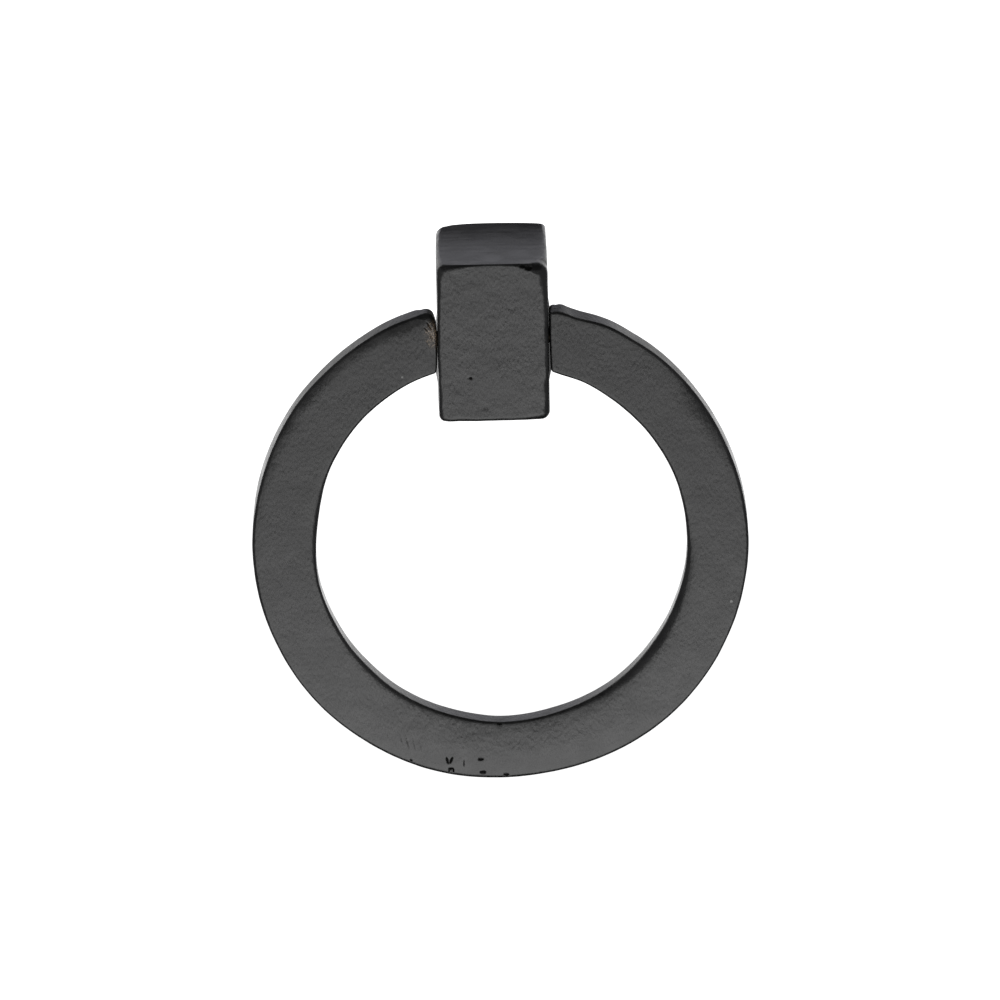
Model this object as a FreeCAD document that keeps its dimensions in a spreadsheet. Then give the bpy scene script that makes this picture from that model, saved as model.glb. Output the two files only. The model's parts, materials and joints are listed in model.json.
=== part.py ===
"""Ring pull for a drawer or cupboard door: a cast block post, a flat open ring that swings on it, and the cross pin.

Millimetres, +Z up. The origin is the centre of the post's back face, on the axis of its screw hole, and the
post stands out from the drawer front towards -Y. The ring hangs plumb from the pin, which runs along X.
"""

import FreeCAD, Part
import math
import os

import Sketcher

# Driving dimensions: alias, value, what it sizes.
DIMENSIONS = [
    ("post_width", 14.15, "post across the pin"),
    ("post_height", 20.5, "post from its underside to its top"),
    ("post_depth", 22.5, "post from the drawer front to its own front"),
    ("post_round", 0.7, "cast edges of the post"),
    ("back_break", 0.3, "edge broken round the ground back face"),
    ("ring_diameter", 63.5, "ring across its outside"),
    ("ring_band", 7.9, "ring from its inner to its outer edge"),
    ("ring_thickness", 3.2, "ring from its front to its back face"),
    ("ring_round", 0.4, "cast edges of the ring"),
    ("ring_setback", 1.0, "ring's front face behind the post's front face"),
    ("side_gap", 0.15, "gap between the post and each end of the ring"),
    ("pin_diameter", 2.0, "cross pin, and the bore that it is driven into"),
    ("pin_reach", 4.0, "length of pin inside each end of the ring"),
    ("pin_chamfer", 0.25, "lead-in at each end of the pin"),
    ("running_gap", 0.05, "radial play of the ring on the pin"),
    ("end_play", 0.4, "space past each end of the pin"),
    ("tap_drill", 3.45, "tapping hole for a number 8 machine screw"),
    ("tap_mouth", 4.4, "countersunk mouth of the screw hole"),
    ("tap_wall", 7.9, "metal from the shoulder of the screw hole to the pin bore"),
]

# Lengths that follow from the driving dimensions, as expressions on the sheet.
PIVOT_DEPTH = "(dims.post_depth - dims.ring_setback - dims.ring_thickness / 2)"
END_OFFSET = "(dims.post_width / 2 + dims.side_gap)"
RING_MEAN_RADIUS = "(dims.ring_diameter / 2 - dims.ring_band / 2)"
RING_DROP = f"sqrt({RING_MEAN_RADIUS} ^ 2 - {END_OFFSET} ^ 2)"

ON_PLANE = 1e-6


def make_sheet(doc):
    """The spreadsheet that holds one driving dimension in each row."""
    sheet = doc.addObject("Spreadsheet::Sheet", "dims")
    for row, (alias, value, note) in enumerate(DIMENSIONS, start=1):
        sheet.set(f"A{row}", str(value))
        sheet.setAlias(f"A{row}", alias)
        sheet.set(f"B{row}", note)
    doc.recompute()
    return sheet


def make_body(doc, label, depth=None):
    """A body that carries its own label, set back from the drawer front by the expression depth."""
    body = doc.addObject("PartDesign::Body", label)
    body.Label = label
    if depth:
        body.setExpression("Placement.Base.y", f"-{depth}")
    return body


def make_sketch(body, name, role):
    """An empty sketch on one of the body's own origin planes."""
    sketch = body.newObject("Sketcher::SketchObject", name)
    plane = next(f for f in body.Origin.OriginFeatures if f.Role == role)
    sketch.AttachmentSupport = [(plane, "")]
    sketch.MapMode = "FlatFace"
    return sketch


def dimension(sketch, name, expression, *constraint):
    """Adds a dimensional constraint, names it and binds it to the sheet."""
    index = sketch.addConstraint(Sketcher.Constraint(*constraint))
    sketch.renameConstraint(index, name)
    sketch.setExpression(f"Constraints.{name}", expression)


def draw_circle(sketch, radius, name, expression, rise=None):
    """A circle on the sketch's origin, or off it along the sketch's X by the bound length rise."""
    centre = FreeCAD.Vector(0, 0, 0)
    circle = sketch.addGeometry(Part.Circle(centre, FreeCAD.Vector(0, 0, 1), radius))
    if rise is None:
        sketch.addConstraint(Sketcher.Constraint("Coincident", circle, 3, -1, 1))
    else:
        sketch.addConstraint(Sketcher.Constraint("PointOnObject", circle, 3, -1))
        dimension(sketch, "set_back", rise, "DistanceX", circle, 3, -1, 1, 1.0)
    dimension(sketch, name, expression, "Radius", circle, radius)


def draw_rectangle(sketch, width, height):
    """A rectangle centred on the sketch's origin; width and height are (start value, expression)."""
    half_w, half_h = width[0] / 2, height[0] / 2
    corners = [(-half_w, -half_h), (half_w, -half_h), (half_w, half_h), (-half_w, half_h)]
    points = [FreeCAD.Vector(x, y, 0) for x, y in corners]
    bottom, right, top, left = (
        sketch.addGeometry(Part.LineSegment(points[i], points[(i + 1) % 4])) for i in range(4)
    )
    for first, second in ((bottom, right), (right, top), (top, left), (left, bottom)):
        sketch.addConstraint(Sketcher.Constraint("Coincident", first, 2, second, 1))
    for flat in (bottom, top):
        sketch.addConstraint(Sketcher.Constraint("Horizontal", flat))
    for upright in (right, left):
        sketch.addConstraint(Sketcher.Constraint("Vertical", upright))
    sketch.addConstraint(Sketcher.Constraint("Symmetric", bottom, 1, top, 1, -1, 1))
    dimension(sketch, "width", width[1], "DistanceX", bottom, 1, bottom, 2, width[0])
    dimension(sketch, "height", height[1], "DistanceY", right, 1, right, 2, height[0])


def draw_open_ring(sketch, sheet):
    """The ring's outline: two arcs about one centre, cut off at the top by two upright ends."""
    outer = sheet.ring_diameter / 2
    inner = outer - sheet.ring_band
    end = sheet.post_width / 2 + sheet.side_gap
    drop = math.sqrt((outer - sheet.ring_band / 2) ** 2 - end**2)
    centre = FreeCAD.Vector(0, -drop, 0)
    arcs = []
    for radius in (outer, inner):
        circle = Part.Circle(centre, FreeCAD.Vector(0, 0, 1), radius)
        lean = math.asin(end / radius)
        start, stop = math.pi / 2 + lean, 5 * math.pi / 2 - lean
        arcs.append(sketch.addGeometry(Part.ArcOfCircle(circle, start, stop)))
    rim, hole = arcs
    for tip, side in ((1, -1), (2, 1)):
        top = FreeCAD.Vector(side * end, math.sqrt(outer**2 - end**2) - drop, 0)
        foot = FreeCAD.Vector(side * end, math.sqrt(inner**2 - end**2) - drop, 0)
        cut = sketch.addGeometry(Part.LineSegment(top, foot))
        sketch.addConstraint(Sketcher.Constraint("Coincident", cut, 1, rim, tip))
        sketch.addConstraint(Sketcher.Constraint("Coincident", cut, 2, hole, tip))
        sketch.addConstraint(Sketcher.Constraint("Vertical", cut))
    sketch.addConstraint(Sketcher.Constraint("Coincident", hole, 3, rim, 3))
    sketch.addConstraint(Sketcher.Constraint("PointOnObject", rim, 3, -2))
    sketch.addConstraint(Sketcher.Constraint("Symmetric", rim, 1, rim, 2, -2))
    dimension(sketch, "rim_radius", "dims.ring_diameter / 2", "Radius", rim, outer)
    dimension(sketch, "hole_radius", "dims.ring_diameter / 2 - dims.ring_band", "Radius", hole, inner)
    dimension(sketch, "end_offset", END_OFFSET, "DistanceX", -1, 1, rim, 2, end)
    dimension(sketch, "drop", RING_DROP, "DistanceY", rim, 3, -1, 1, drop)


def edges_where(feature, test):
    """Names of the feature's edges whose every vertex passes the test."""
    edges = enumerate(feature.Shape.Edges, start=1)
    return [f"Edge{i}" for i, edge in edges if all(test(v.Point) for v in edge.Vertexes)]


def make_post(doc, sheet):
    """The cast block: ground back face, bored across for the pin and drilled from behind for the screw."""
    body = make_body(doc, "post")
    section = make_sketch(body, "post_section", "XZ_Plane")
    draw_rectangle(section, (sheet.post_width, "dims.post_width"), (sheet.post_height, "dims.post_height"))
    block = body.newObject("PartDesign::Pad", "post_block")
    block.Profile = section
    block.setExpression("Length", "dims.post_depth")
    doc.recompute()

    cast_edges = body.newObject("PartDesign::Fillet", "post_cast_edges")
    on_back = set(edges_where(block, lambda p: abs(p.y) < ON_PLANE))
    cast_edges.Base = (block, [e for e in edges_where(block, lambda p: True) if e not in on_back])
    cast_edges.setExpression("Radius", "dims.post_round")
    doc.recompute()

    back_edges = body.newObject("PartDesign::Chamfer", "post_back_edges")
    back_edges.Base = (cast_edges, edges_where(cast_edges, lambda p: abs(p.y) < ON_PLANE))
    back_edges.setExpression("Size", "dims.back_break")
    doc.recompute()

    bore_circle = make_sketch(body, "pin_bore_circle", "YZ_Plane")
    draw_circle(bore_circle, sheet.pin_diameter / 2, "radius", "dims.pin_diameter / 2", PIVOT_DEPTH)
    bore = body.newObject("PartDesign::Pocket", "pin_bore")
    bore.Profile = bore_circle
    bore.SideType = "Symmetric"
    bore.Type = "ThroughAll"
    doc.recompute()

    screw_circle = make_sketch(body, "screw_hole_circle", "XZ_Plane")
    draw_circle(screw_circle, sheet.tap_drill / 2, "radius", "dims.tap_drill / 2")
    doc.recompute()
    screw_hole = body.newObject("PartDesign::Hole", "screw_hole")
    screw_hole.Profile = screw_circle
    doc.recompute()
    screw_hole.Reversed = True
    screw_hole.DepthType = "Dimension"
    screw_hole.DrillPoint = "Angled"
    screw_hole.HoleCutType = "Countersink"
    screw_hole.HoleCutCountersinkAngle = 90
    screw_hole.setExpression("Diameter", "dims.tap_drill")
    screw_hole.setExpression("HoleCutDiameter", "dims.tap_mouth")
    screw_hole.setExpression("Depth", f"{PIVOT_DEPTH} - dims.pin_diameter / 2 - dims.tap_wall")
    doc.recompute()
    return body


def make_ring(doc, sheet):
    """The flat open ring, with a blind hole in each end for the pin. Its own origin is on the pin's axis."""
    body = make_body(doc, "ring", PIVOT_DEPTH)
    outline = make_sketch(body, "ring_outline", "XZ_Plane")
    draw_open_ring(outline, sheet)
    plate = body.newObject("PartDesign::Pad", "ring_plate")
    plate.Profile = outline
    plate.SideType = "Symmetric"
    plate.setExpression("Length", "dims.ring_thickness")
    doc.recompute()

    cast_edges = body.newObject("PartDesign::Fillet", "ring_cast_edges")
    cast_edges.Base = (plate, edges_where(plate, lambda p: True))
    cast_edges.setExpression("Radius", "dims.ring_round")
    doc.recompute()

    hole_circle = make_sketch(body, "pin_hole_circle", "YZ_Plane")
    radius = sheet.pin_diameter / 2 + sheet.running_gap
    draw_circle(hole_circle, radius, "radius", "dims.pin_diameter / 2 + dims.running_gap")
    pin_holes = body.newObject("PartDesign::Pocket", "pin_holes")
    pin_holes.Profile = hole_circle
    pin_holes.SideType = "Symmetric"
    pin_holes.setExpression("Length", f"2 * ({END_OFFSET} + dims.pin_reach + dims.end_play)")
    doc.recompute()
    return body


def make_pivot_pin(doc, sheet):
    """The plain cross pin, driven into the post, with both ends out in the ring. Its own origin is its middle."""
    body = make_body(doc, "pivot_pin", PIVOT_DEPTH)
    section = make_sketch(body, "pin_section", "YZ_Plane")
    draw_circle(section, sheet.pin_diameter / 2, "radius", "dims.pin_diameter / 2")
    rod = body.newObject("PartDesign::Pad", "pin_rod")
    rod.Profile = section
    rod.SideType = "Symmetric"
    rod.setExpression("Length", f"2 * ({END_OFFSET} + dims.pin_reach)")
    doc.recompute()

    ends = body.newObject("PartDesign::Chamfer", "pin_ends")
    is_end = [isinstance(edge.Curve, Part.Circle) for edge in rod.Shape.Edges]
    ends.Base = (rod, [f"Edge{i}" for i, end in enumerate(is_end, start=1) if end])
    ends.setExpression("Size", "dims.pin_chamfer")
    doc.recompute()
    return body


def check(doc, bodies):
    """Stops the build if any object failed or any sub-part isn't one valid solid."""
    for obj in doc.Objects:
        if {"Invalid", "Error"} & set(obj.State):
            raise RuntimeError(f"{obj.Name} failed: {obj.State}")
    for body in bodies:
        shape = body.Shape
        if shape.isNull() or not shape.isValid() or len(shape.Solids) != 1:
            raise RuntimeError(f"{body.Label} isn't one valid solid")


def main():
    doc = FreeCAD.newDocument("ring_pull")
    sheet = make_sheet(doc)
    bodies = [make_post(doc, sheet), make_ring(doc, sheet), make_pivot_pin(doc, sheet)]
    doc.recompute()
    check(doc, bodies)
    os.makedirs("parts", exist_ok=True)
    for body in bodies:
        body.Shape.exportStep(f"parts/{body.Label}.step")
        box = body.Shape.BoundBox
        print(f"{body.Label}: {body.Shape.Volume:.2f} mm3, y {box.YMin:.2f} to {box.YMax:.2f}")


main()
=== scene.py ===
import json
import math

import bmesh
import bpy
from mathutils import Matrix, Vector, noise


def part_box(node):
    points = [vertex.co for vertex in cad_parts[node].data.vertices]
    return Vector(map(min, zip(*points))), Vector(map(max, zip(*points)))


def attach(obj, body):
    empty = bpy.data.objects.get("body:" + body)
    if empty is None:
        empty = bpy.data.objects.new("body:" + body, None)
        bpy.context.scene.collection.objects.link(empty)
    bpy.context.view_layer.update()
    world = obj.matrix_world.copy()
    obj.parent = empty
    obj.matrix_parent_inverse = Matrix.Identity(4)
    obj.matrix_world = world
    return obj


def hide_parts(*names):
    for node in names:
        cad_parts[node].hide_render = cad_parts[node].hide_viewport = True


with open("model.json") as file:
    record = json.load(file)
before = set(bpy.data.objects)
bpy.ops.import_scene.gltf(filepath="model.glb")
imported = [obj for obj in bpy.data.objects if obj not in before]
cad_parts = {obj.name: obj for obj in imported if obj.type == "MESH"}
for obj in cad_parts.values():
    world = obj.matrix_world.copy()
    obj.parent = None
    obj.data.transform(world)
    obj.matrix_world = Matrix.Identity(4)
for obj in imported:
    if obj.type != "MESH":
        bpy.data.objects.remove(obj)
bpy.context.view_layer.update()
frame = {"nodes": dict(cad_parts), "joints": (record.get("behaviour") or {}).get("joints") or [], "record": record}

# Post: the block that is screwed to the drawer front and carries the ring. It is sand-cast bronze, with
# edges left uneven by the mould, its back ground flat and tapped for the screw, then blackened and waxed
# all over.
MM = 0.001
post_low, post_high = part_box("post")
post_centre = (post_low + post_high) / 2
post_half = (post_high - post_low) / 2
pivot = Vector(frame["joints"][0]["pos_m"])

EDGE_STEPS = 6
POST_STEP = 0.3 * MM
POST_ROUND = 0.27 * MM
# Where the mould left an edge rounder: the sides that meet there (left or right, front or back, bottom or
# top, 0 where the round runs right along), and the extra radius. The extra wavers along the edge.
POST_UNEVEN_EDGES = [
    ((-1, -1, 0), 0.16 * MM),
    ((1, -1, 0), 0.50 * MM),
    ((0, -1, -1), 0.34 * MM),
    ((-1, 0, 1), 0.20 * MM),
    ((-1, -1, 1), 0.45 * MM),
    ((-1, 1, 1), 0.85 * MM),
    ((1, 0, 1), 0.10 * MM),
    ((1, -1, 1), 0.62 * MM),
    ((1, 1, 1), 0.35 * MM),
    ((-1, -1, -1), 0.06 * MM),
    ((1, -1, -1), 0.04 * MM),
]
EDGE_FOCUS = 6
EDGE_WAVER = 0.5
EDGE_WAVES = 4.0
# How far the casting is out of true: turned on its screw, low along the top towards the back and the sides,
# drawn down at the foot, swollen at both sides behind the ring's reach, and a little more all along the
# left.
POST_TURN = 0.017
POST_TOP_LOW = 0.10 * MM
POST_TOP_FALL = 0.23 * MM
POST_TOP_CROWN = 0.12 * MM
POST_FOOT_LOW = 0.30 * MM
POST_SWELL = 0.30 * MM
POST_LEFT_SWELL = 0.11 * MM
# The swells: how far behind the pivot each one starts, is full, fades and ends; where it starts and is full
# above the foot, and its top on each side; and how much fuller the right one gets low down.
SWELL_STARTS = 5.0 * MM
SWELL_FULL = 8.0 * MM
SWELL_FADES = 8.5 * MM
SWELL_ENDS = 16.0 * MM
SWELL_FOOT = -8.6 * MM
SWELL_FOOT_FULL = -6.0 * MM
SWELL_RIGHT_TOP = 3.7 * MM
SWELL_LEFT_TOP = 0.8 * MM
SWELL_TOP_FADE = 2.4 * MM
SWELL_LOW = -5.0 * MM
SWELL_LOW_RIGHT = 0.4
# The skin's broad waves and small lumps, and the strip beside the back that is ground flat.
WAVE_LENGTH = 5.0 * MM
WAVE_DEPTH = 0.07 * MM
LUMP_LENGTH = 1.5 * MM
LUMP_DEPTH = 0.035 * MM
GROUND_STARTS = 1.0 * MM
GROUND_FLAT = 0.3 * MM


def spaced(length, step, fine_step=None, near=()):
    """Places from -1 to 1 along a length: step apart, and fine_step apart inside each (from, to) stretch."""
    places = [0.0]
    while places[-1] < length:
        fine = any(start <= places[-1] <= stop for start, stop in near)
        places.append(places[-1] + (fine_step if fine else step))
    return [2 * place / places[-1] - 1 for place in places]


def lattice_line(places):
    """One axis of a block's lattice, end to end: each place on the flat, and its reach into the round."""
    reach = [math.tan(math.pi / 4 * i / EDGE_STEPS) for i in range(1, EDGE_STEPS + 1)]
    low = [(places[0], -part) for part in reversed(reach)]
    high = [(places[-1], part) for part in reach]
    return low + [(place, 0.0) for place in places] + high


def lattice_mesh(name, lines, shape):
    """A closed mesh over the six sides of a lattice. shape gives each lattice point its place in the row
    frame, and how deep in a pit it lies, which is kept as the mesh attribute "pit"."""
    points, pits, faces, numbers = [], [], [], {}

    def number(spot):
        if spot not in numbers:
            (a, along), (b, across), (c, through) = (line[i] for line, i in zip(lines, spot))
            point, pit = shape(Vector((a, b, c)), Vector((along, across, through)))
            numbers[spot] = len(points)
            points.append(point)
            pits.append(pit)
        return numbers[spot]

    for axis in range(3):
        u, v = (axis + 1) % 3, (axis + 2) % 3
        for side in (0, len(lines[axis]) - 1):
            for i in range(len(lines[u]) - 1):
                for j in range(len(lines[v]) - 1):
                    quad = []
                    for step_u, step_v in ((0, 0), (1, 0), (1, 1), (0, 1)):
                        spot = [side] * 3
                        spot[u] = i + step_u
                        spot[v] = j + step_v
                        quad.append(number(tuple(spot)))
                    faces.append(quad if side else quad[::-1])
    mesh = bpy.data.meshes.new(name)
    mesh.from_pydata(points, [], faces)
    mesh.attributes.new("pit", "FLOAT", "POINT").data.foreach_set("value", pits)
    return mesh


def nearness(sides, place):
    """How close a place on the lattice, -1 to 1 each way, is to where the sides meet: 1 there, 0 far off."""
    close = 1.0
    for side, at in zip(sides, place):
        if side:
            close *= ((1 + side * at) / 2) ** EDGE_FOCUS
    return close


def smooth(value, low, high):
    """0 at low, 1 at high, with an S-shaped rise between them."""
    part = min(max((value - low) / (high - low), 0.0), 1.0)
    return part * part * (3 - 2 * part)


def cast_relief(point):
    """How far the mould left the skin below its full size: broad waves and small lumps."""
    broad = 0.5 + 0.5 * noise.noise(point / WAVE_LENGTH)
    small = 0.5 + 0.5 * noise.noise(point / LUMP_LENGTH)
    return WAVE_DEPTH * broad + LUMP_DEPTH * small


MARK_FLOOR = 0.35


def marked(point, marks):
    """Depth of the pits and scratches at a point. A mark is (place, direction, half length, half width,
    depth), and it is at its full depth out to MARK_FLOOR of its size."""
    depth = 0.0
    for place, direction, half_length, half_width, deepest in marks:
        offset = point - place
        if max(abs(offset.x), abs(offset.y), abs(offset.z)) > max(half_length, half_width):
            continue
        along = offset.dot(direction)
        across = (offset - along * direction).length
        away = math.hypot(along / half_length, across / half_width)
        depth += deepest * (1 - smooth(away, MARK_FLOOR, 1.0))
    return depth


ACROSS = Vector((1, 0, 0))
POST_MARKS = [
    # the pin-hole low on the front, and a fainter one below it
    (Vector((-2.94 * MM, post_low.y, -4.66 * MM)), ACROSS, 0.25 * MM, 0.25 * MM, 0.08 * MM),
    (Vector((-1.18 * MM, post_low.y, -8.47 * MM)), ACROSS, 0.60 * MM, 0.30 * MM, 0.03 * MM),
    # chips along the top front edge, towards the right
    (Vector((3.85 * MM, post_low.y, 9.95 * MM)), ACROSS, 0.60 * MM, 0.34 * MM, 0.10 * MM),
    (Vector((4.55 * MM, post_low.y, 9.70 * MM)), ACROSS, 0.62 * MM, 0.42 * MM, 0.15 * MM),
    (Vector((5.25 * MM, post_low.y, 9.85 * MM)), ACROSS, 0.50 * MM, 0.36 * MM, 0.11 * MM),
    (Vector((6.0 * MM, post_low.y, 9.95 * MM)), ACROSS, 0.45 * MM, 0.40 * MM, 0.08 * MM),
]
PIT_FULL = 0.08 * MM


def post_shape(place, reach):
    """Where a point of the post's lattice lies, and how deep in a pit."""
    uneven = 1 + EDGE_WAVER * noise.noise(EDGE_WAVES * place)
    radius = POST_ROUND + uneven * sum(extra * nearness(sides, place) for sides, extra in POST_UNEVEN_EDGES)
    normal = reach.normalized()
    point = post_centre + radius * normal
    for axis in range(3):
        point[axis] += place[axis] * (post_half[axis] - radius)
    ground = smooth(point.y, post_high.y - GROUND_STARTS, post_high.y - GROUND_FLAT)
    pit = marked(point, POST_MARKS)
    point -= normal * (cast_relief(point) * (1 - ground) + pit)
    side, rise = point.x / post_half.x, point.z / post_half.z
    back = (point.y - post_low.y) / (post_high.y - post_low.y)
    if rise > 0:
        point.z -= rise**2 * (POST_TOP_LOW + POST_TOP_FALL * back + POST_TOP_CROWN * side**2)
    else:
        point.z -= rise**2 * POST_FOOT_LOW
    behind_ring = smooth(point.y, pivot.y + SWELL_STARTS, pivot.y + SWELL_FULL)
    behind_ring *= 1 - smooth(point.y, pivot.y + SWELL_FADES, pivot.y + SWELL_ENDS)
    swell_top = SWELL_RIGHT_TOP if side > 0 else SWELL_LEFT_TOP
    beside_ring = smooth(point.z, SWELL_FOOT, SWELL_FOOT_FULL)
    beside_ring *= 1 - smooth(point.z, swell_top - SWELL_TOP_FADE, swell_top)
    lower = 1 - smooth(point.z, SWELL_LOW, 0.0)
    fuller = 1 + SWELL_LOW_RIGHT * lower * max(side, 0)
    point.x += POST_SWELL * side * behind_ring * beside_ring * fuller
    point.x += POST_LEFT_SWELL * min(side, 0) * 4 * back * (1 - back)
    point.x, point.z = point.x + POST_TURN * point.z, point.z - POST_TURN * point.x
    return point, min(pit / PIT_FULL, 1.0)


# The lattice is finer in the columns and rows that hold the pin-hole and the chips.
POST_FINE_STEP = 0.09 * MM
FINE_COLUMNS = [(3.7 * MM, 4.6 * MM), (10.0 * MM, 13.4 * MM)]
FINE_ROWS = [(5.1 * MM, 6.1 * MM), (19.3 * MM, 20.5 * MM)]
post_lines = [
    lattice_line(spaced(2 * post_half.x, POST_STEP, POST_FINE_STEP, FINE_COLUMNS)),
    lattice_line(spaced(2 * post_half.y, POST_STEP)),
    lattice_line(spaced(2 * post_half.z, POST_STEP, POST_FINE_STEP, FINE_ROWS)),
]
post = bpy.data.objects.new("cast_post", lattice_mesh("cast_post", post_lines, post_shape))
bpy.context.scene.collection.objects.link(post)

# The post's holes: the tapping hole with its countersunk mouth, the thread in it, and the bore for the pin.
# The thread's cutter starts inside the hole's wall, and is turned so that its edges don't lie on those of
# the hole.
TAP_RADIUS = frame["record"]["mounts"][0]["dims"]["r_mm"] * MM
TAP_MOUTH_RADIUS = 2.2 * MM
TAP_DEPTH = 11.0 * MM
DRILL_HALF_ANGLE = math.radians(59)
THREAD_RADIUS = 2.083 * MM
THREAD_PITCH = 0.794 * MM
THREAD_DEPTH = 9.6 * MM
PIN_RADIUS = 1.0 * MM
PAST_THE_FACE = 1.0 * MM
THREAD_START = math.radians(1.25)
INSIDE_THE_WALL = 0.02 * MM
WELD = 0.002 * MM


def turned(name, profile, turn, segments=48):
    """A closed solid turned from a profile of (place along the axis, radius); turn takes Z to the axis."""
    points, faces, rings = [], [], []
    for along, radius in profile:
        count = segments if radius else 1
        start = len(points)
        for i in range(count):
            angle = 2 * math.pi * i / count
            points.append(turn @ Vector((radius * math.cos(angle), radius * math.sin(angle), along)))
        rings.append(list(range(start, start + count)))
    for lower, upper in zip(rings, rings[1:]):
        for i in range(segments):
            j = (i + 1) % segments
            corners = [lower[i % len(lower)], lower[j % len(lower)]]
            corners += [upper[j % len(upper)], upper[i % len(upper)]]
            faces.append(list(dict.fromkeys(corners)))
    if len(rings[0]) > 1:
        faces.append(rings[0][::-1])
    if len(rings[-1]) > 1:
        faces.append(rings[-1])
    mesh = bpy.data.meshes.new(name)
    mesh.from_pydata(points, [], faces)
    return bpy.data.objects.new(name, mesh)


def tap(name, length, turn, segments=36, rows=6):
    """The solid that cuts the vee thread: a grid that climbs a pitch each turn, with a fan at each end."""
    last = round(length / THREAD_PITCH) * rows
    column = last + 1
    points, faces = [], []
    for i in range(segments):
        angle = 2 * math.pi * i / segments
        for k in range(column):
            crest = abs(2 * (k % rows) / rows - 1)
            reach = TAP_RADIUS - INSIDE_THE_WALL + (THREAD_RADIUS - TAP_RADIUS) * crest
            climb = THREAD_PITCH * (k / rows + i / segments) - PAST_THE_FACE
            points.append(turn @ Vector((reach * math.cos(angle), reach * math.sin(angle), climb)))
    for i in range(segments):
        beside, shift = ((i + 1) * column, 0) if i + 1 < segments else (0, rows)
        for k in range(last - shift):
            faces.append([i * column + k, beside + k + shift, beside + k + shift + 1, i * column + k + 1])
    foot = [i * column for i in range(segments)] + list(range(rows, 0, -1))
    head = [i * column + last for i in range(segments)]
    head += [(segments - 1) * column + k for k in range(last - 1, last - rows - 1, -1)]
    for loop, middle in ((foot[::-1], 0.5), (head, last / rows + 0.5)):
        points.append(turn @ Vector((0, 0, THREAD_PITCH * middle - PAST_THE_FACE)))
        for here, there in zip(loop, loop[1:] + loop[:1]):
            faces.append([here, there, len(points) - 1])
    mesh = bpy.data.meshes.new(name)
    mesh.from_pydata(points, [], faces)
    return bpy.data.objects.new(name, mesh)


def cut(piece, cutter):
    """Takes the cutter's solid out of the piece, for good, and joins points that the cut left too close."""
    bpy.context.scene.collection.objects.link(cutter)
    modifier = piece.modifiers.new("cut", "BOOLEAN")
    modifier.operation = "DIFFERENCE"
    modifier.solver = "EXACT"
    modifier.object = cutter
    shown = piece.evaluated_get(bpy.context.evaluated_depsgraph_get())
    cut_mesh = bpy.data.meshes.new_from_object(shown)
    welded = bmesh.new()
    welded.from_mesh(cut_mesh)
    bmesh.ops.remove_doubles(welded, verts=welded.verts, dist=WELD)
    bmesh.ops.dissolve_degenerate(welded, edges=welded.edges, dist=WELD)
    bmesh.ops.triangulate(welded, faces=[face for face in welded.faces if len(face.verts) > 4])
    welded.to_mesh(cut_mesh)
    welded.free()
    piece.modifiers.clear()
    piece.data = cut_mesh
    bpy.data.objects.remove(cutter)


INTO_POST = Matrix.Rotation(math.pi / 2, 4, "X")
ALONG_PIN = Matrix.Translation(pivot) @ Matrix.Rotation(math.pi / 2, 4, "Y")
drill_point = TAP_RADIUS / math.tan(DRILL_HALF_ANGLE)
cut(post, turned("screw_hole", [
    (-PAST_THE_FACE, TAP_MOUTH_RADIUS + PAST_THE_FACE),
    (TAP_MOUTH_RADIUS - TAP_RADIUS, TAP_RADIUS),
    (TAP_DEPTH, TAP_RADIUS),
    (TAP_DEPTH + drill_point, 0),
], INTO_POST))
thread_turn = INTO_POST @ Matrix.Rotation(THREAD_START, 4, "Z")
cut(post, tap("screw_thread", THREAD_DEPTH + PAST_THE_FACE, thread_turn))
pin_bore_half = post_half.x + PAST_THE_FACE
cut(post, turned("pin_bore", [(-pin_bore_half, PIN_RADIUS), (pin_bore_half, PIN_RADIUS)], ALONG_PIN))


def put(tree, kind, inputs=None, **settings):
    """Adds a shader node with the given settings; inputs are values, or the sockets that feed them."""
    made = tree.nodes.new("ShaderNode" + kind)
    for name, value in settings.items():
        setattr(made, name, value)
    for name, value in (inputs or {}).items():
        if isinstance(value, bpy.types.NodeSocket):
            tree.links.new(value, made.inputs[name])
        else:
            made.inputs[name].default_value = value
    return made


def maths(tree, operation, first, second=0.5):
    """The output of a maths node."""
    return put(tree, "Math", {0: first, 1: second}, operation=operation).outputs[0]


def ramp(tree, value, low, high, at_low=0.0, at_high=1.0):
    """A value that eases from at_low to at_high as another goes from low to high."""
    return put(tree, "MapRange", {
        "Value": value,
        "From Min": low,
        "From Max": high,
        "To Min": at_low,
        "To Max": at_high,
    }, interpolation_type="SMOOTHSTEP").outputs["Result"]


def mixed(tree, share, first, second, kind="RGBA"):
    """A colour between two colours, or a number between two numbers where kind is FLOAT."""
    node = put(tree, "Mix", data_type=kind)
    suffix = {"RGBA": "Color", "FLOAT": "Float"}[kind]
    for name, value in (("Factor_Float", share), ("A_" + suffix, first), ("B_" + suffix, second)):
        socket = next(s for s in node.inputs if s.identifier == name)
        if isinstance(value, bpy.types.NodeSocket):
            tree.links.new(value, socket)
        else:
            socket.default_value = value
    return next(s for s in node.outputs if s.identifier == "Result_" + suffix)


def shared_group(name, inputs, outputs):
    """A shader node group with named sockets; returns its tree, its input node and its output node."""
    tree = bpy.data.node_groups.new(name, "ShaderNodeTree")
    for socket, kind in inputs:
        tree.interface.new_socket(socket, in_out="INPUT", socket_type="NodeSocket" + kind)
    for socket, kind in outputs:
        tree.interface.new_socket(socket, in_out="OUTPUT", socket_type="NodeSocket" + kind)
    return tree, tree.nodes.new("NodeGroupInput"), tree.nodes.new("NodeGroupOutput")


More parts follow.
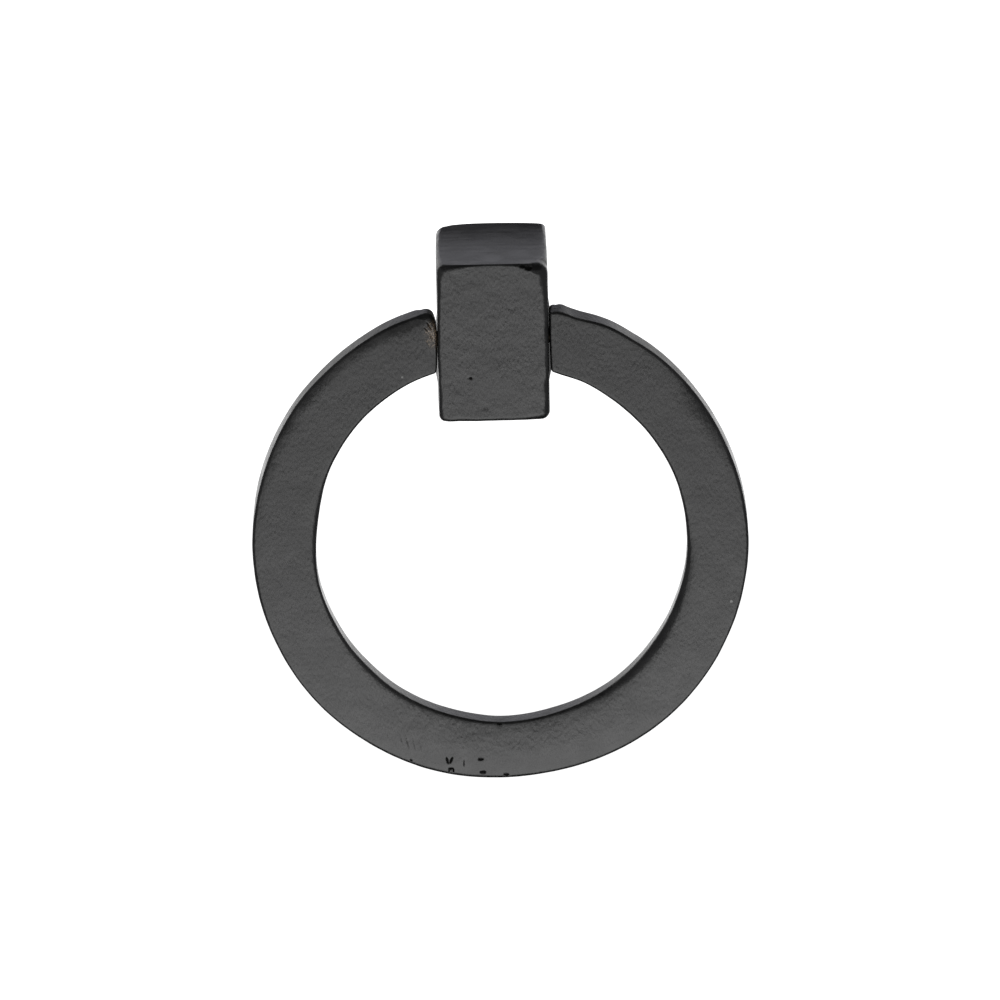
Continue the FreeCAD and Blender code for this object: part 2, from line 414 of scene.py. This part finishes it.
# Cast grain: the fine orange-peel of a sand-cast skin, and the broad cloudiness of its blackening.
grain_group, grain_in, grain_out = shared_group(
    "cast_grain",
    [("Place", "Vector"), ("Lumps per metre", "Float")],
    [("Height", "Float"), ("Cloud", "Float")],
)
GRAIN_STRETCH = (1, 1, 0.6)
SWELLS_PER_METRE = 620.0
SWELL_SHARE = 0.4
CLOUDS_PER_METRE = 330.0
grain_place = put(grain_group, "VectorMath", {
    0: grain_in.outputs["Place"],
    1: GRAIN_STRETCH,
}, operation="MULTIPLY")
lumps = put(grain_group, "TexNoise", {
    "Vector": grain_place.outputs[0],
    "Scale": grain_in.outputs["Lumps per metre"],
    "Detail": 1.0,
    "Roughness": 0.4,
})
swells = put(grain_group, "TexNoise", {
    "Vector": grain_in.outputs["Place"],
    "Scale": SWELLS_PER_METRE,
    "Detail": 1.0,
})
cloud = put(grain_group, "TexNoise", {
    "Vector": grain_in.outputs["Place"],
    "Scale": CLOUDS_PER_METRE,
    "Detail": 4.0,
})
grain_swells = maths(grain_group, "MULTIPLY", swells.outputs["Fac"], SWELL_SHARE)
grain_height = maths(grain_group, "ADD", lumps.outputs["Fac"], grain_swells)
grain_group.links.new(grain_height, grain_out.inputs["Height"])
grain_group.links.new(cloud.outputs["Fac"], grain_out.inputs["Cloud"])

# Dust: a few pale specks caught in the wax.
dust_group, dust_in, dust_out = shared_group("dust", [("Place", "Vector")], [("Mask", "Float")])
DUST_CELLS_PER_METRE = 270.0
dust_cells = put(dust_group, "TexVoronoi", {
    "Vector": dust_in.outputs["Place"],
    "Scale": DUST_CELLS_PER_METRE,
})
dust_size = put(dust_group, "SeparateColor", {"Color": dust_cells.outputs["Color"]})
dust_spot = ramp(dust_group, dust_cells.outputs["Distance"], low=0.035, high=0.06, at_low=1.0, at_high=0.0)
dust_kept = ramp(dust_group, dust_size.outputs["Red"], low=0.60, high=0.90)
dust_group.links.new(maths(dust_group, "MULTIPLY", dust_spot, dust_kept), dust_out.inputs["Mask"])

# Brushing: fine lines along X, left where a face was dressed on a belt.
brush_group, brush_in, brush_out = shared_group("brushing", [("Place", "Vector")], [("Height", "Float")])
BRUSH_LINES_PER_METRE = (50, 900, 900)
brush_place = put(brush_group, "VectorMath", {
    0: brush_in.outputs["Place"],
    1: BRUSH_LINES_PER_METRE,
}, operation="MULTIPLY")
brush_lines = put(brush_group, "TexNoise", {"Vector": brush_place.outputs[0], "Scale": 1.0, "Detail": 3.0})
brush_group.links.new(brush_lines.outputs["Fac"], brush_out.inputs["Height"])

BLACK = (0.008, 0.008, 0.0083, 1)
BLACK_CLOUDED = (0.013, 0.013, 0.0133, 1)
# Painted shade: the near black that pits and scratches are coloured, standing in for the shade inside them.
PAINTED_PIT_SHADE = (0.003, 0.003, 0.003, 1)
DUST = (0.20, 0.20, 0.195, 1)
FULL_PIT_SHINE = 0.05
CLOUD_EDGES = {"low": 0.35, "high": 0.65}
POST_LUMPS_PER_METRE = 3000.0
POST_GRAIN = 0.037 * MM
POST_SHINE = 0.80
BRUSH_DEPTH = 0.04 * MM
BRUSHED_BLACK = (0.026, 0.026, 0.028, 1)


def blackened(name, lumps_per_metre, grain_height, full_shine):
    """Blackened, waxed bronze: the material, and its place, colour, roughness, height and shine sockets."""
    material = bpy.data.materials.new(name)
    material.use_nodes = True
    tree = material.node_tree
    place = put(tree, "TexCoord").outputs["Object"]
    skin = put(tree, "Group", node_tree=grain_group)
    tree.links.new(place, skin.inputs["Place"])
    skin.inputs["Lumps per metre"].default_value = lumps_per_metre
    dust = put(tree, "Group", node_tree=dust_group)
    tree.links.new(place, dust.inputs["Place"])
    pit = put(tree, "Attribute", attribute_name="pit").outputs["Fac"]
    shine = ramp(tree, pit, low=0.1, high=0.7, at_low=full_shine, at_high=FULL_PIT_SHINE)
    colour = mixed(tree, ramp(tree, skin.outputs["Cloud"], **CLOUD_EDGES), BLACK, BLACK_CLOUDED)
    colour = mixed(tree, dust.outputs["Mask"], colour, DUST)
    # Painted shade: the pits and scratches are darkened in colour, as the shade inside them would be.
    colour = mixed(tree, pit, colour, PAINTED_PIT_SHADE)
    rough = ramp(tree, skin.outputs["Cloud"], **CLOUD_EDGES, at_low=0.30, at_high=0.38)
    height = maths(tree, "MULTIPLY", skin.outputs["Height"], grain_height)
    return material, place, colour, rough, height, shine


def dress(material, colour, rough, height, shine):
    """Feeds the material's shader with its colour, roughness, shine and the height of its grain."""
    tree = material.node_tree
    shader = tree.nodes["Principled BSDF"]
    bump = put(tree, "Bump", {"Strength": 1.0, "Distance": 1.0, "Height": height})
    tree.links.new(colour, shader.inputs["Base Color"])
    tree.links.new(rough, shader.inputs["Roughness"])
    tree.links.new(shine, shader.inputs["Specular IOR Level"])
    tree.links.new(bump.outputs["Normal"], shader.inputs["Normal"])


# The post's top is dressed on a belt, and its sides are dulled by the grime that gathers beside the ring:
# on the right, round a spot behind the pivot, and more thinly all over the left.
GRIME_BEHIND = 4 * MM
GRIME_BELOW = 1 * MM
GRIME_FADES = 6 * MM
GRIME_ENDS = 10 * MM
GRIME_LEFT = 0.4
GRIME_SHINE = 0.12
GRIME_ROUGH = 0.6
post_black, post_place, post_colour, post_rough, post_grain, post_shine = blackened(
    "blackened_post", POST_LUMPS_PER_METRE, POST_GRAIN, POST_SHINE
)
post_tree = post_black.node_tree
post_facing = put(post_tree, "SeparateXYZ", {"Vector": put(post_tree, "TexCoord").outputs["Normal"]})
post_top = ramp(post_tree, post_facing.outputs["Z"], low=0.8, high=0.95)
brushed = put(post_tree, "Group", node_tree=brush_group)
post_tree.links.new(post_place, brushed.inputs["Place"])
post_lines_height = maths(post_tree, "MULTIPLY", brushed.outputs["Height"], BRUSH_DEPTH)
post_height = mixed(post_tree, post_top, post_grain, post_lines_height, "FLOAT")
post_bright_lines = ramp(post_tree, brushed.outputs["Height"], low=0.45, high=0.65)
post_streaks = maths(post_tree, "MULTIPLY", post_top, post_bright_lines)
post_colour = mixed(post_tree, post_streaks, post_colour, BRUSHED_BLACK)
post_beside = put(post_tree, "VectorMath", {0: post_place, 1: (0, 1, 1)}, operation="MULTIPLY").outputs[0]
post_from_spot = put(post_tree, "VectorMath", {
    0: post_beside,
    1: (0, pivot.y + GRIME_BEHIND, -GRIME_BELOW),
}, operation="DISTANCE").outputs["Value"]
post_near_spot = ramp(post_tree, post_from_spot, low=GRIME_FADES, high=GRIME_ENDS, at_low=1.0, at_high=0.0)
post_right = ramp(post_tree, post_facing.outputs["X"], low=0.75, high=0.98)
post_right = maths(post_tree, "MULTIPLY", post_right, post_near_spot)
post_left = ramp(post_tree, post_facing.outputs["X"], low=-0.75, high=-0.98, at_low=0.0, at_high=GRIME_LEFT)
post_grime = maths(post_tree, "ADD", post_left, post_right)
post_dulling = ramp(post_tree, post_grime, low=0.0, high=1.0, at_low=1.0, at_high=GRIME_SHINE)
post_shine = maths(post_tree, "MULTIPLY", post_shine, post_dulling)
post_rough = mixed(post_tree, post_grime, post_rough, GRIME_ROUGH, "FLOAT")
dress(post_black, post_colour, post_rough, post_height, post_shine)
post.data.materials.append(post_black)
SHARP_ANGLE = math.radians(40)
post.data.shade_smooth()
post.data.set_sharp_from_angle(angle=SHARP_ANGLE)
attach(post, "post")
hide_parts("post")

# Cross pin: a plain drawn brass pin, driven through the post, on whose two ends the ring hangs. Only a
# sliver of it shows, in the gaps at the post's sides, blackened with the rest once it was in place.
PIN_BRASS = (0.035, 0.029, 0.02, 1)
pin = frame["nodes"]["pivot_pin"]
pin_brass = bpy.data.materials.new("pin_brass")
pin_brass.use_nodes = True
pin_shader = pin_brass.node_tree.nodes["Principled BSDF"]
pin_shader.inputs["Base Color"].default_value = PIN_BRASS
pin_shader.inputs["Metallic"].default_value = 1.0
pin_shader.inputs["Roughness"].default_value = 0.4
pin.data.materials.clear()
pin.data.materials.append(pin_brass)

# Ring: the pull itself, a flat open ring of cast bronze, sprung over the ends of the pin. It is blackened
# and waxed like the post, and the black is rubbed through beside the post, where the ring's left end has
# chafed.
ring_low, ring_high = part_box("ring")
RING_BAND = 7.9 * MM
SIDE_GAP = 0.15 * MM
RING_ROUND = 0.40 * MM
RING_STEP = 0.55 * MM
ring_outer = (ring_high.x - ring_low.x) / 2
ring_mean = ring_outer - RING_BAND / 2
ring_centre = Vector((0, pivot.y, ring_low.z + ring_outer))
ring_end = post_high.x + SIDE_GAP
ring_opening = math.asin(ring_end / ring_mean)
ring_arc = ring_mean * (2 * math.pi - 2 * ring_opening)
ring_half = Vector((ring_arc, RING_BAND, ring_high.y - ring_low.y)) / 2
FORWARD = Vector((0, -1, 0))
# Where the mould left the ring's edges rounder: the middle and half the spread in degrees, anticlockwise
# from the right, so that the ring runs from 105 at its left end to 435 at its right; inner or outer edge,
# and front or back one, 0 for both; and the extra radius.
INNER, OUTER = -1, 1
BACK, FRONT = -1, 1
RING_UNEVEN_EDGES = [
    (105, 3, OUTER, 0, 0.45 * MM),
    (435, 3, OUTER, BACK, 0.35 * MM),
    (185, 30, OUTER, FRONT, 0.16 * MM),
    (270, 70, OUTER, 0, 0.18 * MM),
    (370, 45, OUTER, FRONT, 0.12 * MM),
    (135, 35, INNER, FRONT, 0.14 * MM),
    (168, 26, INNER, FRONT, 0.25 * MM),
    (225, 45, INNER, FRONT, 0.12 * MM),
    (324, 46, INNER, FRONT, 0.72 * MM),
    (392, 36, INNER, FRONT, 0.16 * MM),
]
# Where the ring is out of round: as above, and how far the edge stands out from the ring's middle line. The
# first three are the draught by which the casting came out of the mould towards the front.
ALL_ROUND = 1000
RING_OUT_OF_ROUND = [
    (105, 80, OUTER, FRONT, -0.32 * MM),
    (435, 80, OUTER, FRONT, -0.32 * MM),
    (270, 80, INNER, FRONT, -0.15 * MM),
    (160, 22, OUTER, FRONT, -0.17 * MM),
    (378, 22, OUTER, FRONT, -0.18 * MM),
    (160, 14, OUTER, BACK, 0.10 * MM),
    (114, 22, OUTER, 0, 0.30 * MM),
    (142, 26, OUTER, 0, 0.13 * MM),
    (222, 16, OUTER, 0, 0.09 * MM),
    (250, 25, OUTER, 0, 0.08 * MM),
    (276, 26, OUTER, 0, -0.18 * MM),
    (312, 26, OUTER, 0, 0.12 * MM),
    (408, 18, OUTER, 0, 0.18 * MM),
    (421, 7, OUTER, 0, 0.16 * MM),
    (429, 5, OUTER, 0, -0.12 * MM),
    (434, 3.5, OUTER, 0, 0.15 * MM),
    (437, 4, OUTER, 0, -0.38 * MM),
    (435.5, 4.5, OUTER, FRONT, -0.28 * MM),
    (430, 9, OUTER, FRONT, -0.14 * MM),
    (270, ALL_ROUND, INNER, 0, 0.13 * MM),
    (113, 12, INNER, 0, -0.13 * MM),
    (128, 20, INNER, 0, -0.15 * MM),
    (160, 14, INNER, 0, 0.12 * MM),
    (171, 20, INNER, 0, 0.34 * MM),
    (206, 20, INNER, 0, 0.10 * MM),
    (222, 10, INNER, 0, 0.09 * MM),
    (268, 18, INNER, 0, -0.14 * MM),
    (305, 22, INNER, 0, -0.08 * MM),
    (352, 14, INNER, 0, -0.10 * MM),
    (402, 22, INNER, 0, 0.12 * MM),
    (422, 26, INNER, 0, 0.20 * MM),
    (434, 10, INNER, 0, 0.26 * MM),
]
# Where the front falls away towards an edge: the middle and half the spread, the edge, how far in the fall
# starts, and how deep it is at the edge.
RING_FALLS = [
    (109, 14, INNER, 6.0 * MM, 0.04 * MM),
    (110, 14, OUTER, 2.4 * MM, 0.18 * MM),
    (140, 50, OUTER, 1.8 * MM, 0.26 * MM),
    (385, 36, OUTER, 1.8 * MM, 0.14 * MM),
    (392, 14, OUTER, 2.8 * MM, 0.26 * MM),
    (168, 24, INNER, 1.4 * MM, 0.22 * MM),
    (225, 45, INNER, 1.2 * MM, 0.12 * MM),
    (270, 60, INNER, 5.0 * MM, 0.25 * MM),
    (270, 60, OUTER, 4.0 * MM, 0.20 * MM),
    (325, 60, INNER, 2.4 * MM, 0.24 * MM),
    (354, 28, INNER, 1.4 * MM, 0.32 * MM),
]
# How far each end stands off the post's side at its inner corner, middle and outer corner.
RING_LEFT_GAPS = (0.30 * MM, 0.05 * MM, 0.90 * MM)
RING_RIGHT_GAPS = (0.11 * MM, 0.04 * MM, 0.12 * MM)


def on_ring_front(x, z):
    """A point on the ring's front, from its place in millimetres."""
    return Vector((x * MM, ring_low.y, z * MM))


def stroke(x, z, tip_x, tip_z, half_width, depth):
    """A scratch on the ring's front from one point to another."""
    start, tip = on_ring_front(x, z), on_ring_front(tip_x, tip_z)
    along = tip - start
    half_length = along.length / 2 + half_width * MM
    return (start + tip) / 2, along.normalized(), half_length, half_width * MM, depth * MM


RING_MARKS = [
    # a pair of scratches and a small arch where the casting's sprue was dressed off, at the bottom left
    stroke(-7.90, -55.25, -7.70, -56.15, 0.18, 0.12),
    stroke(-7.10, -55.25, -7.50, -56.10, 0.18, 0.12),
    stroke(-7.62, -56.80, -7.66, -57.45, 0.13, 0.11),
    stroke(-7.62, -56.80, -7.10, -56.80, 0.13, 0.11),
    stroke(-7.10, -56.80, -7.02, -57.40, 0.13, 0.11),
    stroke(-5.66, -55.50, -5.71, -56.80, 0.10, 0.06),
    stroke(-3.72, -55.70, -3.22, -55.62, 0.26, 0.14),
    stroke(-3.60, -57.48, -3.00, -57.44, 0.24, 0.14),
    stroke(-0.50, -57.90, -0.05, -57.90, 0.26, 0.13),
    stroke(-12.5, -55.45, -12.4, -55.60, 0.20, 0.09),
    # faint file marks across the band beside them
    stroke(-14.1, -51.0, -13.4, -53.4, 0.14, 0.030),
    stroke(-13.2, -51.6, -12.6, -54.2, 0.14, 0.036),
    stroke(-12.3, -52.0, -11.8, -54.4, 0.14, 0.030),
    stroke(-11.5, -52.2, -11.0, -54.6, 0.14, 0.026),
    # a blob at the inner edge and nicks in the left side
    stroke(-1.15, -50.98, -0.75, -51.02, 0.28, 0.12),
    stroke(-25.3, -9.90, -24.6, -10.0, 0.50, 0.022),
    stroke(-16.2, -8.30, -16.0, -8.40, 0.25, 0.04),
    # scratches where the left end has chafed
    stroke(-8.45, 2.75, -7.70, 1.35, 0.10, 0.09),
    stroke(-8.75, 2.00, -8.25, 1.30, 0.09, 0.06),
    stroke(-8.10, 1.20, -7.60, 0.20, 0.09, 0.07),
    stroke(-8.60, 0.60, -8.20, -0.20, 0.08, 0.04),
]


EDGE_FADE = 4
CORNER_FADE = 3


def standing_out(spots, degrees, across, through):
    """Sum of the spots at a place: degrees round the ring, and -1 to 1 across its band and through it."""
    total = 0.0
    for middle, spread, edge, face, amount in spots:
        away = abs(degrees - middle) / spread
        if away < 1:
            share = ((1 + edge * across) / 2) ** EDGE_FADE
            if face:
                share *= (1 + face * through) / 2
            total += amount * share * (1 - smooth(away, 0.0, 1.0))
    return total


def falling(degrees, across):
    """How far the front has fallen away: degrees round the ring, and the distance from its middle line."""
    total = 0.0
    for middle, spread, edge, width, depth in RING_FALLS:
        away = abs(degrees - middle) / spread
        from_edge = ring_half.y - edge * across
        if away < 1 and from_edge < width:
            total += depth * (1 - from_edge / width) ** 2 * (1 - smooth(away, 0.0, 1.0))
    return total


def opening_at(gaps, across, from_centre):
    """The angle from the top to one of the ring's ends, at a place across the band."""
    inner_gap, middle_gap, outer_gap = gaps
    gap = middle_gap + (outer_gap - middle_gap) * max(across, 0) ** CORNER_FADE
    gap += (inner_gap - middle_gap) * max(-across, 0) ** CORNER_FADE
    return math.asin((post_half.x + gap) / from_centre)


def ring_shape(place, reach):
    """Where a point of the ring's lattice lies, and how deep in a pit."""
    degrees = 90 + math.degrees(ring_opening + (place.x + 1) * (math.pi - ring_opening))
    radius = RING_ROUND + standing_out(RING_UNEVEN_EDGES, degrees, place.y, place.z)
    normal = reach.normalized()
    flat = radius * normal
    for axis in range(3):
        flat[axis] += place[axis] * (ring_half[axis] - radius)
    across, through = flat.y / ring_half.y, flat.z / ring_half.z
    fall = falling(degrees, flat.y) * max(through, 0)
    flat.z -= fall
    flat.y += math.copysign(1, across) * standing_out(RING_OUT_OF_ROUND, degrees, across, through)
    from_centre = ring_mean + flat.y
    left = opening_at(RING_LEFT_GAPS, across, from_centre)
    right = opening_at(RING_RIGHT_GAPS, across, from_centre)
    turn = left + (flat.x / ring_arc + 0.5) * (2 * math.pi - left - right)
    outward = Vector((-math.sin(turn), 0, math.cos(turn)))
    onward = Vector((-math.cos(turn), 0, -math.sin(turn)))
    point = ring_centre + from_centre * outward + flat.z * FORWARD
    facing = normal.x * onward + normal.y * outward + normal.z * FORWARD
    pit = marked(point + fall * FORWARD, RING_MARKS)
    relief = cast_relief(point) * (1 - abs(normal.x))
    return point - facing * (relief + pit), min(pit / PIT_FULL, 1.0)


def arc_to(degrees):
    """Length along the ring's middle line from its left end."""
    return ring_mean * (math.radians(degrees - 90) - ring_opening)


# The lattice is finer along the rubbed end and the marks at the bottom, and across the band where the marks
# lie.
RING_FINE_STEP = 0.075 * MM
RING_FINE_ARCS = [(0, arc_to(109)), (arc_to(241), arc_to(272))]
BAND_STEP = 0.36 * MM
BAND_FINE_STEP = 0.08 * MM
BAND_FINE = [(5.1 * MM, 7.5 * MM)]
THROUGH_STEP = 0.4 * MM
ring_lines = [
    lattice_line(spaced(ring_arc, RING_STEP, RING_FINE_STEP, RING_FINE_ARCS)),
    lattice_line(spaced(RING_BAND, BAND_STEP, BAND_FINE_STEP, BAND_FINE)),
    lattice_line(spaced(2 * ring_half.z, THROUGH_STEP)),
]
ring = bpy.data.objects.new("cast_ring", lattice_mesh("cast_ring", ring_lines, ring_shape))
ring.data.flip_normals()
bpy.context.scene.collection.objects.link(ring)

# The ring's blind pin holes, one in each end.
PIN_HOLE_RADIUS = 1.05 * MM
PIN_HOLE_REACH = 4.4 * MM
hole_half = ring_end + PIN_HOLE_REACH
cut(ring, turned("pin_holes", [(-hole_half, PIN_HOLE_RADIUS), (hole_half, PIN_HOLE_RADIUS)], ALONG_PIN))

# Rubbing: how far the black is worn, round a spot; ragged at its edge.
rub_group, rub_in, rub_out = shared_group(
    "rubbing",
    [("Place", "Vector"), ("Spot", "Vector"), ("Reach", "Vector")],
    [("Film", "Float"), ("Bare", "Float")],
)
RAGS_PER_METRE = 1500.0
SPECKS_PER_METRE = 6500.0
rub_place = rub_in.outputs["Place"]
rub_away = put(rub_group, "VectorMath", {0: rub_place, 1: rub_in.outputs["Spot"]}, operation="SUBTRACT")
rub_share = put(rub_group, "VectorMath", {
    0: rub_away.outputs[0],
    1: rub_in.outputs["Reach"],
}, operation="DIVIDE")
rub_length = put(rub_group, "VectorMath", {0: rub_share.outputs[0]}, operation="LENGTH").outputs["Value"]
rub_ragged = put(rub_group, "TexNoise", {"Vector": rub_place, "Scale": RAGS_PER_METRE, "Detail": 2.0})
rub_specks = put(rub_group, "TexNoise", {"Vector": rub_place, "Scale": SPECKS_PER_METRE, "Detail": 1.0})
rub_edge = maths(rub_group, "ADD", rub_length, maths(rub_group, "SUBTRACT", rub_ragged.outputs["Fac"]))
rub_film = ramp(rub_group, rub_edge, low=0.4, high=1.1, at_low=1.0, at_high=0.0)
rub_through = ramp(rub_group, rub_edge, low=0.1, high=1.0, at_low=0.12, at_high=0.0)
rub_speckle = maths(rub_group, "ADD", rub_specks.outputs["Fac"], rub_through)
rub_bare = maths(rub_group, "MULTIPLY", rub_film, ramp(rub_group, rub_speckle, low=0.60, high=0.70))
rub_group.links.new(rub_film, rub_out.inputs["Film"])
rub_group.links.new(rub_bare, rub_out.inputs["Bare"])

# The ring's skin, rubbed to a brown film and then to bare bronze at its left end.
RUBBED_FILM = (0.040, 0.030, 0.022, 1)
BARE_BRONZE = (0.27, 0.205, 0.145, 1)
RUB_SPOT = (-ring_end - 0.2 * MM, ring_low.y, 0.9 * MM)
RUB_REACH = (1.4 * MM, 1.2 * MM, 2.3 * MM)
RING_LUMPS_PER_METRE = 2700.0
RING_GRAIN = 0.040 * MM
RING_SHINE = 0.69
ring_black, ring_place, ring_colour, ring_rough, ring_grain, ring_shine = blackened(
    "blackened_ring", RING_LUMPS_PER_METRE, RING_GRAIN, RING_SHINE
)
ring_tree = ring_black.node_tree
rubbed = put(ring_tree, "Group", node_tree=rub_group)
ring_tree.links.new(ring_place, rubbed.inputs["Place"])
rubbed.inputs["Spot"].default_value = RUB_SPOT
rubbed.inputs["Reach"].default_value = RUB_REACH
ring_colour = mixed(ring_tree, rubbed.outputs["Film"], ring_colour, RUBBED_FILM)
ring_colour = mixed(ring_tree, rubbed.outputs["Bare"], ring_colour, BARE_BRONZE)
# Its shine is raised towards the bottom: a painted sheen, standing in for the brighter reflection there.
ring_height = put(ring_tree, "SeparateXYZ", {"Vector": ring_place}).outputs["Z"]
ring_painted_sheen = ramp(ring_tree, ring_height, low=-15 * MM, high=-62 * MM, at_low=0.98, at_high=1.36)
ring_shine = maths(ring_tree, "MULTIPLY", ring_shine, ring_painted_sheen)
dress(ring_black, ring_colour, ring_rough, ring_grain, ring_shine)
ring.data.materials.append(ring_black)
ring.data.shade_smooth()
ring.data.set_sharp_from_angle(angle=SHARP_ANGLE)
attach(ring, "ring")
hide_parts("ring")

# Camera: a long lens, looking down on the pull, and tipped a little so that the pull leans to the left.
CAMERA_ELEVATION = math.radians(16.0)
CAMERA_ROLL = math.radians(2.0)
CAMERA_DISTANCE = 1.1
VIEW_WIDTH = 127.7 * MM
FRAME_SIDE = 1000
RING_PIXEL = (500.4, 539.65)
ahead = Vector((0, math.cos(CAMERA_ELEVATION), -math.sin(CAMERA_ELEVATION)))
level_up = Vector((0, math.sin(CAMERA_ELEVATION), math.cos(CAMERA_ELEVATION)))
camera_right = ACROSS * math.cos(CAMERA_ROLL) - level_up * math.sin(CAMERA_ROLL)
camera_up = ACROSS * math.sin(CAMERA_ROLL) + level_up * math.cos(CAMERA_ROLL)
pixel = VIEW_WIDTH / FRAME_SIDE
aim = ring_centre - camera_right * (RING_PIXEL[0] - FRAME_SIDE / 2) * pixel
aim += camera_up * (RING_PIXEL[1] - FRAME_SIDE / 2) * pixel
camera_data = bpy.data.cameras.new("camera")
camera_data.sensor_width = 36.0
camera_data.lens = camera_data.sensor_width * CAMERA_DISTANCE / VIEW_WIDTH
camera = bpy.data.objects.new("camera", camera_data)
camera.matrix_world = Matrix((camera_right, camera_up, -ahead)).transposed().to_4x4()
camera.location = aim - ahead * CAMERA_DISTANCE
bpy.context.scene.collection.objects.link(camera)
bpy.context.scene.camera = camera

# Studio: a plain pale floor well below the pull, a soft lamp low in front, and cards that only reflections
# see: dark ones all round, for the dark lines along the rounded edges, a bright one on the floor in front,
# for the front faces, and a grey one far behind, for the post's top.
FLOOR_DROP = 0.19
FLOOR_HALF = 3.0
floor_level = ring_low.z - FLOOR_DROP
floor_corners = [
    (x * FLOOR_HALF, y * FLOOR_HALF, floor_level) for x, y in ((-1, -1), (1, -1), (1, 1), (-1, 1))
]
floor_mesh = bpy.data.meshes.new("floor")
floor_mesh.from_pydata(floor_corners, [], [(0, 1, 2, 3)])
floor = bpy.data.objects.new("floor", floor_mesh)
bpy.context.scene.collection.objects.link(floor)
floor_paint = bpy.data.materials.new("floor_paint")
floor_paint.use_nodes = True
floor_tree = floor_paint.node_tree
floor_tree.nodes.clear()


def seen(tree):
    """1 for what the camera sees, straight, in a reflection or through glass."""
    path = put(tree, "LightPath")
    either = maths(tree, "MAXIMUM", path.outputs["Is Camera Ray"], path.outputs["Is Glossy Ray"])
    return maths(tree, "MAXIMUM", either, path.outputs["Is Transmission Ray"])


floor_skin = put(floor_tree, "BsdfDiffuse", {"Color": (0.8, 0.8, 0.8, 1)})
floor_glow = put(floor_tree, "Emission", {"Color": (1, 1, 1, 1)})
floor_place = put(floor_tree, "SeparateXYZ", {"Vector": put(floor_tree, "TexCoord").outputs["Object"]})
# The floor's glow grows towards the back, past white far behind: a painted stretch of light that the pull's faces
# reflect.
floor_brightness = ramp(floor_tree, floor_place.outputs["Y"], low=0.5, high=1.4, at_low=0.62, at_high=1.5)
floor_strength = maths(floor_tree, "MULTIPLY", seen(floor_tree), floor_brightness)
floor_tree.links.new(floor_strength, floor_glow.inputs["Strength"])
floor_both = put(floor_tree, "AddShader", {0: floor_skin.outputs[0], 1: floor_glow.outputs[0]})
put(floor_tree, "OutputMaterial", {"Surface": floor_both.outputs[0]})
floor_mesh.materials.append(floor_paint)

world = bpy.data.worlds.new("studio")
world.use_nodes = True
bpy.context.scene.world = world
world_tree = world.node_tree
world_light = world_tree.nodes["Background"]
world_light.inputs["Color"].default_value = (1, 1, 1, 1)
world_strength = put(world_tree, "MapRange", {"Value": seen(world_tree), "To Min": 0.6, "To Max": 1.0})
world_tree.links.new(world_strength.outputs["Result"], world_light.inputs["Strength"])


def lamp(name, place, size, power):
    """A soft square lamp, turned to face the pull."""
    data = bpy.data.lights.new(name, "AREA")
    data.size = size
    data.energy = power
    made = bpy.data.objects.new(name, data)
    made.location = place
    made.rotation_euler = (ring_centre - Vector(place)).to_track_quat("-Z", "Y").to_euler()
    bpy.context.scene.collection.objects.link(made)


lamp("front_lamp", place=(0.0, -0.9, -0.25), size=0.6, power=2.0)


def studio_card(name, glow, corners):
    """A card that only reflections see, and see as bright as its glow."""
    paint = bpy.data.materials.new(name)
    paint.use_nodes = True
    paint_shader = paint.node_tree.nodes["Principled BSDF"]
    paint_shader.inputs["Base Color"].default_value = (0, 0, 0, 1)
    paint_shader.inputs["Specular IOR Level"].default_value = 0.0
    paint_shader.inputs["Emission Color"].default_value = glow
    paint_shader.inputs["Emission Strength"].default_value = 1.0
    mesh = bpy.data.meshes.new(name)
    mesh.from_pydata(corners, [], [(0, 1, 2, 3)])
    mesh.materials.append(paint)
    card = bpy.data.objects.new(name, mesh)
    bpy.context.scene.collection.objects.link(card)
    card.visible_camera = False
    card.visible_diffuse = False
    card.visible_shadow = False
    card.visible_transmission = False
    return paint.node_tree


def standing(y, half_width, low, high):
    """Corners of a card that stands across the view."""
    return [(-half_width, y, low), (half_width, y, low), (half_width, y, high), (-half_width, y, high)]


def lying(z, half_width, near, far):
    """Corners of a card that lies level."""
    return [(-half_width, near, z), (half_width, near, z), (half_width, far, z), (-half_width, far, z)]


DARK = (0.01, 0.01, 0.011, 1)
DUSK = (0.14, 0.14, 0.145, 1)
PALE = (0.73, 0.73, 0.73, 1)
COOL_GREY = (0.50, 0.50, 0.54, 1)
SIDE_AWAY = 0.25
SIDE_NEAR = -0.40
SIDE_FAR = 0.25
SIDE_HALF_HEIGHT = 0.35
for name, side in (("left_card", -1), ("right_card", 1)):
    x = side * SIDE_AWAY
    studio_card(name, DUSK, [
        (x, SIDE_NEAR, -SIDE_HALF_HEIGHT),
        (x, SIDE_FAR, -SIDE_HALF_HEIGHT),
        (x, SIDE_FAR, SIDE_HALF_HEIGHT),
        (x, SIDE_NEAR, SIDE_HALF_HEIGHT),
    ])
studio_card("top_card", DARK, lying(z=0.25, half_width=0.3, near=-0.65, far=0.3))
studio_card("low_card", DARK, lying(z=-0.24, half_width=0.3, near=-0.16, far=0.2))
studio_card("front_card", DARK, standing(y=-0.9, half_width=0.6, low=-0.20, high=0.30))
card_tree = studio_card("front_floor_card", PALE, lying(z=-0.245, half_width=0.6, near=-0.9, far=-0.27))
card_place = put(card_tree, "SeparateXYZ", {"Vector": put(card_tree, "TexCoord").outputs["Object"]})
card_strength = ramp(card_tree, card_place.outputs["Y"], low=-0.90, high=-0.45, at_low=0.95, at_high=2.6)
card_tree.links.new(card_strength, card_tree.nodes["Principled BSDF"].inputs["Emission Strength"])
studio_card("rear_card", COOL_GREY, standing(y=1.2, half_width=0.45, low=0.19, high=1.10))
studio_card("near_rear_card", DARK, standing(y=0.006, half_width=0.0075, low=0.004, high=0.0146))

bpy.context.scene.view_settings.view_transform = "Standard"
